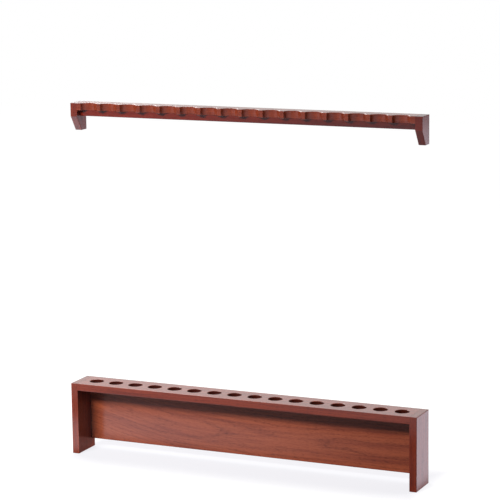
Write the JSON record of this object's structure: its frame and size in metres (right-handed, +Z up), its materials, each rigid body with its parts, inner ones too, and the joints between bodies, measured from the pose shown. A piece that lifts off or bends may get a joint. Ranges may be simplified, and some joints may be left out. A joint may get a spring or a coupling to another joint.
{
  "type": "fishing rod rack",
  "caption": "Two-piece wooden rod rack: a floor stand with a row of round holes for the rod butts, and a scalloped wall rail that holds the rods upright.",
  "frame": {"origin": "on the floor, at the middle of the lower rack's width and depth", "axes": "+X along the rack to the right, +Y back to the wall, +Z up"},
  "size_m": [0.9652, 0.0888, 0.9271],
  "materials": {
    "stained_boards": "red-brown stain under semi-gloss lacquer",
    "stained_ends": "red-brown stain under semi-gloss lacquer",
    "bare_beech": "bare, glued"
  },
  "bodies": {
    "root": {"lower_top_board": "stained_boards", "lower_back_board": "stained_boards", "lower_left_end": "stained_ends", "lower_right_end": "stained_ends", "lower_left_top_dowels": "bare_beech", "lower_left_back_dowels": "bare_beech", "lower_right_top_dowels": "bare_beech", "lower_right_back_dowels": "bare_beech", "lower_back_to_top_dowels": "bare_beech", "upper_notched_board": "stained_boards", "upper_under_board": "stained_boards", "upper_left_bracket": "stained_ends", "upper_right_bracket": "stained_ends", "upper_left_board_dowels": "bare_beech", "upper_left_under_dowels": "bare_beech", "upper_right_board_dowels": "bare_beech", "upper_right_under_dowels": "bare_beech", "upper_under_to_board_dowels": "bare_beech"}
  },
  "joints": []
}
